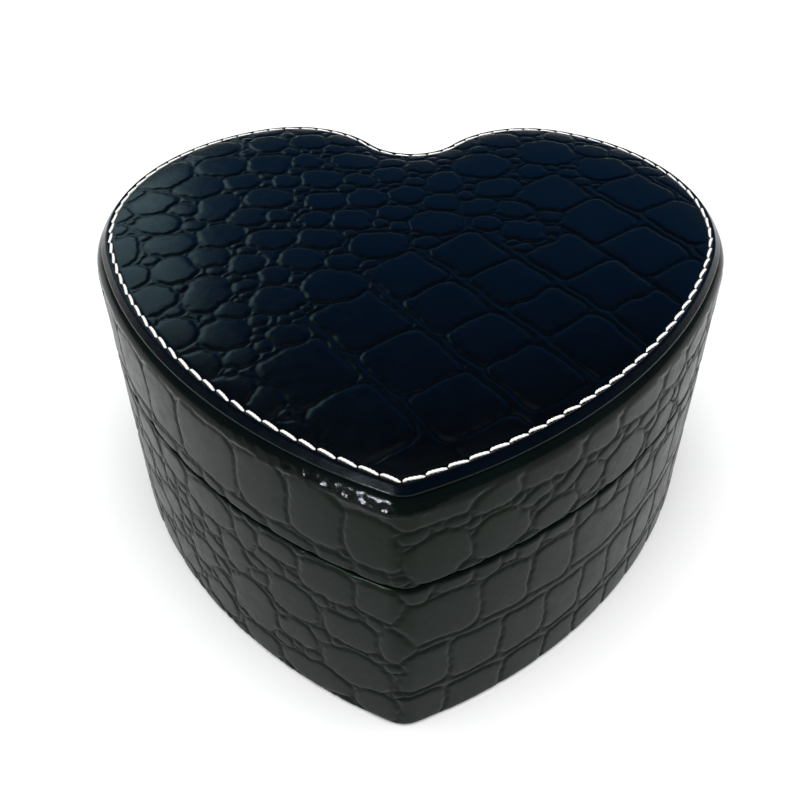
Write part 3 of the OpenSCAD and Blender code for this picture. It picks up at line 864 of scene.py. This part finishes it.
def lid_leather():
    """The leather round the lid, rounded over the rim and tucked in under the padded top."""
    low, top = LID_BOTTOM, RIM_Z
    outer = np.vstack([
        lower_edge(low),
        line((0, low + EDGE_R), (0, top - RIM_R), FINE),
        arc(RIM_R, top - RIM_R, RIM_R, 0, 90, 18),
        [(TUCK_IN, top)],
    ])
    lap_in, skin_in = LID_LINING_IN - 0.02, LEATHER_T + 0.02
    inner = np.vstack([
        [(TUCK_IN, top - HEM)], arc(RIM_R, top - RIM_R, RIM_R - skin_in, 90, 0, 7),
        [(skin_in, low + HEM), (lap_in, low + HEM), (lap_in, low)]])
    steps = np.linalg.norm(np.diff(outer, axis=0), axis=1)
    trace = low + np.concatenate([[0], np.cumsum(steps)])
    smooth_from, smooth_to = 81, 84.5
    fade = smooth_step(trace, low, low + 1.5) * (1 - smooth_step(trace, smooth_from, smooth_to))
    leather_side("lid_leather", side_cells_lid(), outer, inner, trace, fade,
                 "lid", "lid_side_wrap")


# ---------------------------------------------------------------- the padded top
STITCH_IN = 4.8
STITCH_GROOVE = 0.42
BORDER_IN = 6.6
CROWN = 1.9
PANEL_Z = STITCH_Z - 0.1


def puff(depth):
    """How far the padding lifts the top at a distance from the outline."""
    return CROWN * (1 - np.exp(-np.maximum(depth - STITCH_IN, 0) / 6.5))


def top_cells():
    """Scales of the top, with y measured from the line that touches both lobes."""
    cells = Cells(21)
    slope, seam = -52, 2.4
    c, s = math.cos(math.radians(slope)), math.sin(math.radians(slope))
    # Belly rows: middle and height across the rows, then where a row starts and its widths
    belly = ((-95.5, 17.8, 76, (20, 22)), (-75, 18.8, 68, (20, 19, 17, 18)),
             (-54.8, 17.4, 61, (16.5, 16.5, 15.5, 17.5)), (-35.6, 16.8, 63, (17, 16, 13.5, 18)),
             (-16, 18, 80, (15.5, 16, 18)), (2.4, 18.8, 54, (17, 18, 18.5, 17)),
             (22.8, 17.6, 67, (18, 19, 16)), (42, 17.6, 73, (18, 17)))
    for across, height, start, widths in belly:
        corner = (start * c - across * s, start * s + across * c)
        cells.row(corner, height, widths, 7, slope)

    def beside_rows(x, y):
        """True where small scales may lie: not in the double creases between two rows."""
        along, across = x * c + y * s, -x * s + y * c
        free = np.full(len(x), True)
        for middle, height, start, _ in belly:
            free &= (np.abs(across - middle) > height / 2 + seam) | (along < start - 0.5)
        return free

    ovals = (
        (41, -23, 8, 7.6), (57.5, -32.5, 7.6, 6.8), (21, -31, 8.3, 6.8), (10, -41, 4.4, 5.8),
        (25.5, -44.5, 6.2, 5), (31, -67, 5.7, 4.8), (39, -59.5, 3.1, 2.8), (7.5, -63.5, 7, 5.6),
        (-8, -74.5, 7.4, 5.8), (-16, -62, 5.4, 4.8), (-24, -71.5, 5.8, 4.4),
        (-28, -81.5, 5.8, 4.4), (-37, -72, 6, 4.4), (-18.5, -93.5, 7.5, 6.8),
        (-32, -99.5, 6, 5.2), (-40, -51, 6.3, 4.8), (-45, -61, 5.3, 4.3),
        (-24, -52.5, 5.4, 4.5), (-26, -40, 5.8, 4.8), (-17, -28.5, 6.3, 4.8),
        (-31, -29, 4.4, 4.2), (-42.5, -31.5, 6, 5.4), (-12, -50.5, 5.2, 4.8),
        (-1, -48.5, 4.7, 4.3), (9, -52.5, 4.6, 4.2), (19, -55, 4.8, 4.2), (-6, -37, 4.7, 4.2),
        (2.5, -31, 4.4, 3.9), (-72.5, -37, 7.6, 8.3), (-56.5, -32.5, 6.6, 5.8),
        (-61, -21, 7.5, 5.2), (-61, -45, 6.3, 5.8), (-72.5, -53.5, 6, 5.6),
        (-54, -56, 5.2, 7), (-69, -64.5, 6, 4.6), (-51, -70.5, 5.7, 5), (-63.5, -75, 6.2, 4.8),
        (-52, -81, 4.8, 4.2), (-60, -86.5, 5.2, 5.4), (-50, -97, 5.3, 7), (-63.5, -99, 5.6, 5.4),
        (-76.5, -77, 4.4, 6.6), (-71.5, -88.5, 4.8, 4.6), (-56, -112, 5.5, 5),
        (-43, -113, 6, 5), (-44, -18, 6, 5), (-32, -16, 5.5, 4.6), (27, -14, 6.5, 5),
        (-36, -60.5, 3.2, 2.8), (-34, -89, 3.6, 3.2), (-42, -84, 4.2, 4))
    for x, y, a, b in ovals:
        cells.oval(x, y, a, b, cells.random.uniform(-14, 14))
    cells.fill(beside_rows, ((-88, -164), (88, 0)), 4.6, SMALLEST, stretch=1.3)
    return cells


def lid_panel():
    """The stitched, padded top: a rounded edge, a smooth border and scales inside it."""
    stations = HEART.stations(FINE)
    edge_z, lip_in = RIM_Z + 0.05, PANEL_IN + 0.7
    foot_in, foot = PANEL_IN, RIM_Z - 0.6
    round_r, lean = 1.0, 40
    scales_from, scales_full, share_of_relief = STITCH_IN + 0.5, STITCH_IN + 2.4, 0.8
    bend = arc(0, PANEL_Z - round_r, round_r, lean, 90, 8)
    start = foot_in + (bend[0, 1] - foot) * math.tan(math.radians(lean))
    bend[:, 0] += start - bend[0, 0]
    edge = np.vstack([[(TUCK_IN, edge_z), (lip_in, edge_z)],
                      line((foot_in, foot), bend[0], 0.35), bend[:-1]])
    border = np.linspace(bend[-1, 0], BORDER_IN, 9)
    flat, faces, loop = inside_of(BORDER_IN, FINE)
    cells = top_cells()

    def surface(points, depth):
        """Height of the top at points, and how deep in a crease each is."""
        height, crease = cells.relief(points[:, 0], points[:, 1] - BACK_Y)
        share = smooth_step(depth, scales_from, scales_full)
        groove = STITCH_GROOVE * np.exp(-((depth - STITCH_IN) / 0.5) ** 2)
        raised = share_of_relief * height * share
        return PANEL_Z + puff(depth) - groove + raised, crease * share

    rows = [sweep(edge, stations)]
    creases = [np.zeros(len(edge) * len(stations))]
    for inset in border[:-1]:
        at = HEART.at(stations, inset)[0]
        z, crease = surface(at, np.full(len(at), inset))
        rows.append(np.column_stack([at, z]))
        creases.append(crease)
    depth = np.concatenate([np.full(loop, BORDER_IN), depth_of(flat[loop:])])
    z, crease = surface(flat, depth)
    rows.append(np.column_stack([flat, z]))
    creases.append(crease)
    faces = crowned_faces(len(edge) + len(border), len(stations), faces)
    panel = piece("lid_panel", np.vstack(rows), faces, "lid", "croc_top", ["lid_top_panel"],
                  {"crease": np.concatenate(creases)})


def flat_board(name, node, inset, slot):
    """A flat board drawn in far enough to stay inside the leather that wraps it."""
    stations = HEART.stations(2.5)
    corners = np.array([(inset, z) for z in span(node, Z)])
    faces = capped_faces(2, len(stations))
    piece(name, sweep(corners, stations), faces, "lid", slot, [node])


def top_foam():
    """The foam under the leather, from the card up to just below the scales."""
    foot, skin = edge_of("lid_top_foam", LOW, Z), 0.75
    inset, spacing = 6.4, 2.5
    stations = HEART.stations(spacing)
    flat, faces, loop = inside_of(inset + 0.3, spacing)
    z = np.maximum(PANEL_Z + puff(depth_of(flat)) - skin - 0.3, foot + 0.1)
    z[:loop] = foot + 0.1
    edge = np.column_stack([HEART.at(stations, inset)[0], np.full(len(stations), foot)])
    faces = crowned_faces(2, len(stations), faces)
    foam = piece("lid_foam", np.vstack([edge, np.column_stack([flat, z])]), faces, "lid",
                 "foam", ["lid_top_foam"])


def spread_evenly(inset, pitch):
    """Lengths from the tip that divide the line at an inset evenly, on one side."""
    s = np.linspace(0, HEART.half, 6000)
    line_at = HEART.at(s, inset)[0]
    run = np.concatenate([[0], np.cumsum(np.linalg.norm(np.diff(line_at, axis=0), axis=1))])
    count = round(run[-1] / pitch)
    return np.interp((np.arange(count) + 0.5) * run[-1] / count, run, s)


def stitching():
    """Thick two-ply thread. Each stitch dips into the leather at both ends."""
    pitch, length, radius = 5.1, 5.25, 0.38
    rings, around = 19, 12
    level = PANEL_Z - STITCH_GROOVE + 0.24
    t, angle = np.meshgrid(np.linspace(-1, 1, rings), full_turn(around), indexing="ij")
    swell = (1 - np.abs(t) ** 10) ** 0.5 * (1 - 0.15 * t * t) + 0.02
    ply = 1 + 0.14 * np.cos(2 * (angle - 2.6 * t * math.pi))
    r = radius * swell * ply
    run = (t * length / 2)[..., None]
    off = (0.14 * (1 - t * t) + r * np.cos(angle))[..., None]
    z = level - 0.5 * np.abs(t) ** 7 + 0.85 * r * np.sin(angle)
    points, faces = [], []
    draw = np.random.default_rng(5)
    for side in (-1, 1):
        for s in side * spread_evenly(STITCH_IN, pitch):
            centre, outward = HEART.at(s, STITCH_IN)
            slant = math.radians(7) + draw.normal(0, 0.03)
            along = np.array([-outward[1], outward[0]])
            along = math.cos(slant) * along + math.sin(slant) * outward
            across = np.array([-along[1], along[0]])
            faces += capped_faces(rings, around, len(points))
            points += np.dstack([centre + run * along + off * across, z]).reshape(-1, 3).tolist()
    piece("lid_stitches", points, faces, "lid", "thread", ["lid_stitching"])


# ---------------------------------------------------------------- linings and boards
def round_band(outer, inner, low, high, r, rounded, step=1.6):
    """A closed band section, rounded along its top or along its bottom."""
    r = min(r, (inner - outer) / 2)
    climb = line((outer, low + r), (outer, high - r), step)
    descent = line((inner, high - r), (inner, low + r), step)
    if rounded == "top":
        return [[(outer, low)], climb, arc(outer + r, high - r, r, 0, 90, 6),
                arc(inner - r, high - r, r, 90, 180, 6), descent, [(inner, low)]]
    return [arc(outer + r, low + r, r, -90, 0, 6), climb, [(outer, high), (inner, high)],
            descent, arc(inner - r, low + r, r, 180, 270, 6)]


def base_lining():
    """Velvet that covers the inside of the base and laps over the collar that guides the lid."""
    skin, lap, fold_r, shoulder_r = 0.3, 0.14, 0.36, 0.9
    outer, top = COLLAR_OUT - lap, COLLAR_TOP + lap
    section = [
        line((outer, SPLIT_Z), (outer, top - fold_r), 1),
        arc(outer + fold_r, top - fold_r, fold_r, 0, 90, 6),
        arc(ROOM_IN - shoulder_r, top - shoulder_r, shoulder_r, 90, 180, 6),
        line((ROOM_IN, top - shoulder_r), (ROOM_IN, FLOOR_TOP), 2),
        [(ROOM_IN, FLOOR_TOP), (COLLAR_IN, FLOOR_TOP)],
        line((COLLAR_IN, FLOOR_TOP), (COLLAR_IN, COLLAR_TOP - skin), 3),
        [(COLLAR_IN, COLLAR_TOP), (COLLAR_OUT, COLLAR_TOP), (COLLAR_OUT, SPLIT_Z)],
    ]
    band("base_lining", section, "base", "velvet", ["base_wall_lining"])


def lid_lining():
    """Velvet on the inside of the lid's wall."""
    low = edge_of("lid_wall_lining", LOW, Z)
    section = round_band(LID_LINING_IN, LID_ROOM_IN, low, CEILING_Z, 0.28, "bottom")
    band("lid_lining", section, "lid", "velvet", ["lid_wall_lining"])


def mirror_frame():
    """A soft frame that holds the mirror, rounded on the side that shows."""
    low, high = span("lid_mirror_bezel", Z)
    glass_z = edge_of("lid_mirror", LOW, Z)
    inner_in = 18
    middle, half = (LID_ROOM_IN + inner_in) / 2, (inner_in - LID_ROOM_IN) / 2
    turn = np.radians(np.linspace(180, 0, 19))
    puffed = np.stack([middle + half * np.cos(turn),
                       glass_z - (glass_z - low + 0.5) * np.sin(turn) ** 0.55], -1)
    section = [puffed, [(LID_ROOM_IN, high), (MIRROR_IN, high), (MIRROR_IN, glass_z + 0.02)]]
    soft = band("mirror_frame", section, "lid", "velvet", ["lid_mirror_bezel"])


def tray_shell():
    """The tray's wall with its velvet, rounded along the top."""
    section = round_band(TRAY_OUT, TRAY_ROOM_IN, *span("tray_wall", Z), 1.1, "top")
    band("tray_shell", section, "tray", "velvet", ["tray_wall", "tray_lining"])


def ledge():
    """The ring that the tray rests on."""
    section = round_band(ROOM_IN, LEDGE_IN, *span("base_tray_ledge", Z), 0.9, "top", 2.5)
    band("tray_ledge", section, "base", "velvet", ["base_tray_ledge"])


def soft_floor(name, node, body, inset, walls, rise, spacing=1.7):
    """A velvet pad that puffs up between the walls that divide it. Walls are segments."""
    low, high = span(node, Z)
    stations = HEART.stations(spacing)
    flat, faces, loop = inside_of(inset + 0.5, spacing)
    near = depth_of(flat) - inset
    near[:loop] = 0.45
    for start, end in walls:
        along = np.subtract(end, start).astype(float)
        reach = np.linalg.norm(along)
        along /= reach
        offset = flat - np.array(start)
        t = np.clip(offset @ along, 0, reach)
        near = np.minimum(near, np.linalg.norm(offset - t[:, None] * along, axis=1) - 1.2)
    near = np.maximum(near, 0)
    ripple = (np.sin(flat[:, 0] * 0.21 + 1.3 * np.sin(flat[:, 1] * 0.11))
              * np.sin(flat[:, 1] * 0.17 + 0.8))
    z = high - 0.5 + rise * (1 - np.exp(-near / 3.5)) + 0.12 * ripple * (near > 2)
    edge = np.array([(inset + 0.05, low), (inset + 0.05, high - 0.9), (inset + 0.2, high - 0.6)])
    points = np.vstack([sweep(edge, stations), np.column_stack([flat, z])])
    faces = crowned_faces(len(edge) + 1, len(stations), faces)
    pad = piece(name, points, faces, body, "velvet", [node])


def partition(name, node, body, start, end):
    """An upright divider wrapped in velvet, round along its top."""
    low, high = span(node, Z)
    start, end = np.array(start, float), np.array(end, float)
    length = np.linalg.norm(end - start)
    along = (end - start) / length
    across = np.array([-along[1], along[0]])
    half, levels, spacing = DIVIDER_T / 2, 6, 2.5
    turn = np.radians(np.linspace(0, 180, 9))
    side = np.concatenate([[half] * levels, half * np.cos(turn), [-half] * levels])
    rise = np.linspace(low, high - half, levels + 1)[:-1]
    up = np.concatenate([rise, high - half + half * np.sin(turn), rise[::-1]])
    rings = max(2, round(float(length) / spacing)) + 1
    t, z = np.meshgrid(np.linspace(0, 1, rings), up, indexing="ij")
    soft = 0.05 * np.sin(9 * t + z / 3)
    spot = start + t[..., None] * (end - start) + (side + soft)[..., None] * across
    piece(name, np.dstack([spot, z]).reshape(-1, 3), capped_faces(rings, len(side)), body,
          "velvet", [node])


def wall_x(y, inset):
    """How far out the wall is at a height y up the heart."""
    points = HEART.at(np.linspace(0, HEART.half, 4000), inset)[0]
    outer = points[:points[:, 1].argmax()]
    return float(outer[np.abs(outer[:, 1] - y).argmin(), 0])


def back_wall_y(x, inset):
    """Where the wall behind a lobe is, at a distance x from the middle."""
    points = HEART.at(np.linspace(HEART.half * 0.6, HEART.half, 4000), inset)[0]
    return float(points[np.abs(points[:, 0] - x).argmin(), 1])


CROSS_FRONT, CROSS_BACK = span("tray_cross_divider", Y)
CROSS_Y = (CROSS_FRONT + CROSS_BACK) / 2
DIVIDER_T = CROSS_BACK - CROSS_FRONT
SIDE_X = sum(span("tray_divider_right", X)) / 2


def compartments():
    """Dividers and floor pads of the tray and of the base below it."""
    tuck = 0.3
    reach = wall_x(CROSS_Y, TRAY_ROOM_IN) + tuck
    back = back_wall_y(SIDE_X, TRAY_ROOM_IN) + tuck
    cross = ((-reach, CROSS_Y), (reach, CROSS_Y))
    partition("tray_partition_cross", "tray_cross_divider", "tray", *cross)
    for side, word in ((-1, "left"), (1, "right")):
        partition("tray_partition_" + word, "tray_divider_" + word, "tray",
                  (side * SIDE_X, CROSS_Y + 1), (side * SIDE_X, back))
    uprights = [((x, CROSS_Y), (x, back)) for x in (-SIDE_X, SIDE_X)]
    soft_floor("tray_pad", "tray_floor_pad", "tray", TRAY_ROOM_IN, [cross, *uprights],
               rise=0.9)
    reach = wall_x(CROSS_Y, LEDGE_IN) + tuck
    back = float(HEART.at(HEART.half, LEDGE_IN)[0][1]) + tuck
    cross = ((-reach, CROSS_Y), (reach, CROSS_Y))
    partition("base_partition_cross", "base_cross_divider", "base", *cross)
    partition("base_partition_long", "base_long_divider", "base", (0, CROSS_Y + 1), (0, back))
    soft_floor("base_pad", "base_floor_pad", "base", ROOM_IN,
               [cross, ((0, CROSS_Y), (0, back))], rise=1.0, spacing=2.2)


def ring_roll(i):
    """One soft roll. Rings are pushed into the slit beside it."""
    node = f"tray_ring_roll_{i}"
    (left, right), (front, back), (low, high) = (span(node, axis) for axis in (X, Y, Z))
    radius = (back - front) / 2 + 0.22
    centre_z = high - radius + 0.2
    rings, around = 65, 40
    phase = np.random.default_rng(40 + i).uniform(0, 6.28, 3)
    t, a = np.meshgrid(np.linspace(-1, 1, rings), full_turn(around), indexing="ij")
    up, down = np.maximum(np.sin(a), 0), np.maximum(-np.sin(a), 0)
    end = (1 - np.abs(t) ** 26) ** 0.5
    sag = 0.14 * np.sin(5.1 * t + phase[0]) + 0.1 * np.sin(11.3 * t + phase[1])
    r = radius * (0.35 + 0.65 * end) * (1 + 0.014 * np.sin(3 * a + 7 * t + phase[2]))
    x = (left + right) / 2 + t * (right - left) / 2
    y = (front + back) / 2 + r * np.cos(a) * (1 - 0.06 * (1 - np.abs(np.sin(a))))
    z = centre_z + r * np.sin(a) * (1 + 0.32 * down) + sag * up
    points = np.dstack([x, y, np.maximum(z, low + 0.05)]).reshape(-1, 3)
    roll = piece(f"ring_roll_{i}", points, capped_faces(rings, around), "tray", "velvet", [node])


def pull_tab(side):
    """A ribbon sewn to the tray's lining, folded over and lying into the tray."""
    word = "left" if side < 0 else "right"
    node = "tray_pull_tab_" + word
    top = edge_of(node, HIGH, Z)
    wall = max(abs(x) for x in span(node, X))
    mid_y = sum(span(node, Y)) / 2
    width, thick = 11.6, 0.55
    tray_top = edge_of("tray_wall", HIGH, Z)
    path = [(wall - 0.35, tray_top - 6), (wall - 0.35, tray_top - 2), (wall - 0.4, top - 1.3),
            (wall - 1.1, top - 0.35), (wall - 2.6, top - 0.28), (wall - 5, top - 1.1),
            (wall - 8, top - 2.5), (wall - 11.5, top - 4.2), (wall - 15.4, top - 6.2)]
    curve = smooth_path(np.array(path), 34)
    normal = section_normals(curve)
    rows = np.vstack([curve + normal * thick / 2, (curve - normal * thick / 2)[::-1]])
    x, across = np.meshgrid(rows[:, 0], np.linspace(-width / 2, width / 2, 13), indexing="ij")
    x = side * (x - 0.12 * (across / width * 2) ** 2)
    z = np.broadcast_to(rows[:, 1:], x.shape)
    faces = grid_faces(*x.shape, wrap_columns=False)
    # The two long edges are closed between the upper and the lower face
    for k in range(len(curve) - 1):
        pair = (k, k + 1, len(rows) - 2 - k, len(rows) - 1 - k)
        for edge in (0, x.shape[1] - 1):
            faces.append([row * x.shape[1] + edge for row in pair])
    ribbon = piece("pull_tab_" + word, np.dstack([x, mid_y + across, z]).reshape(-1, 3), faces,
                   "tray", "ribbon", [node])


def smooth_path(points, count):
    """Evenly spaced points on a smooth curve through given ones."""
    ends = np.vstack([2 * points[0] - points[1], points, 2 * points[-1] - points[-2]])
    curve = []
    for i in range(1, len(ends) - 2):
        p0, p1, p2, p3 = ends[i - 1:i + 3]
        for t in np.linspace(0, 1, 12, endpoint=False):
            curve.append(0.5 * (2 * p1 + (p2 - p0) * t + (2 * p0 - 5 * p1 + 4 * p2 - p3) * t * t
                                + (3 * p1 - p0 - 3 * p2 + p3) * t ** 3))
    curve = np.array(curve + [points[-1]])
    run = np.concatenate([[0], np.cumsum(np.linalg.norm(np.diff(curve, axis=0), axis=1))])
    at = np.linspace(0, run[-1], count)
    return np.column_stack([np.interp(at, run, curve[:, k]) for k in range(curve.shape[1])])


# ---------------------------------------------------------------- CAD nodes that stay
def hinge_screws(body):
    """Countersunk screws with a crossed recess, four on each half of the two hinges."""
    node = "hinge_" + body + "_screws"
    head_r, shaft_r, point_r, pair, around = 1.7, 0.8, 0.3, 10, 48
    sink, crown, slot_depth = 0.85, 0.22, 0.45
    tip_y, face_y = span(node, Y)
    level = edge_of(node, LOW, Z) + head_r
    outer_x = edge_of(node, HIGH, X) - head_r
    dome = np.linspace(head_r, 0.05, 17)
    shaft = [(point_r, tip_y - face_y), (shaft_r, tip_y - face_y), (shaft_r, -sink)]
    radii = np.concatenate([[r for r, _ in shaft], dome])
    heights = np.concatenate([[y for _, y in shaft], crown * (1 - (dome / head_r) ** 2)])
    on_head = np.arange(len(radii)) >= len(shaft)
    turn = full_turn(around)
    points, faces = [], []
    for number, x in enumerate((-outer_x, pair - outer_x, outer_x - pair, outer_x)):
        skew = 0.5 * number + (0.3 if body == "lid" else 0)
        along = np.abs(np.outer(radii, np.cos(turn - skew)))
        across = np.abs(np.outer(radii, np.sin(turn - skew)))
        recess = ((1 - smooth_step(np.minimum(along, across), 0.16, 0.3))
                  * (1 - smooth_step(np.maximum(along, across), 0.75, 1.0)))
        y = face_y + (heights - slot_depth * recess.T * on_head).T
        place = np.dstack([x + np.outer(radii, np.cos(turn)), y,
                           level + np.outer(radii, np.sin(turn))])
        faces += capped_faces(len(radii), around, len(points))
        points += place.reshape(-1, 3).tolist()
    piece("screws_" + body, points, faces, body, "steel", [node])


def finish_nodes():
    """Gives each CAD node that stays its material, and a soft edge where one would show."""
    looks = {
        "felt": (0.25, ["base_bottom_cover"]),
        "fibreboard": (0, ["base_floor", "base_wall", "lid_wall", "tray_floor"]),
        "card": (0, ["base_collar"]),
        "steel": (0.12, ["base_magnet", "lid_striker_pin", "hinge_pin_left",
                         "hinge_pin_right"]),
        "hinge_metal": (0.18, ["hinge_base_leaf_left", "hinge_base_leaf_right",
                               "hinge_lid_leaf_left", "hinge_lid_leaf_right"]),
        "velvet": (0, ["lid_ceiling_lining"]),
        "mirror": (0.3, ["lid_mirror"]),
    }
    for look, (soft_edge, nodes) in looks.items():
        for node in nodes:
            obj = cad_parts[node]
            obj.data.materials.clear()
            obj.data.materials.append(MATERIALS[look])
            if soft_edge:
                bevel = obj.modifiers.new("soft_edge", "BEVEL")
                bevel.width = soft_edge * MM
                bevel.segments = 2
                bevel.limit_method = "ANGLE"
                bevel.angle_limit = math.radians(40)
                bevel.harden_normals = False


camera()
studio()
lid_panel()
flat_board("lid_card", "lid_panel_card", inset=4.6, slot="card")
flat_board("lid_board", "lid_top_board", inset=5, slot="fibreboard")
top_foam()
mirror_frame()
compartments()
for number in range(1, 6):
    ring_roll(number)
for direction in (-1, 1):
    pull_tab(direction)
base_leather()
lid_leather()
stitching()
base_lining()
lid_lining()
tray_shell()
ledge()
hinge_screws("base")
hinge_screws("lid")
finish_nodes()
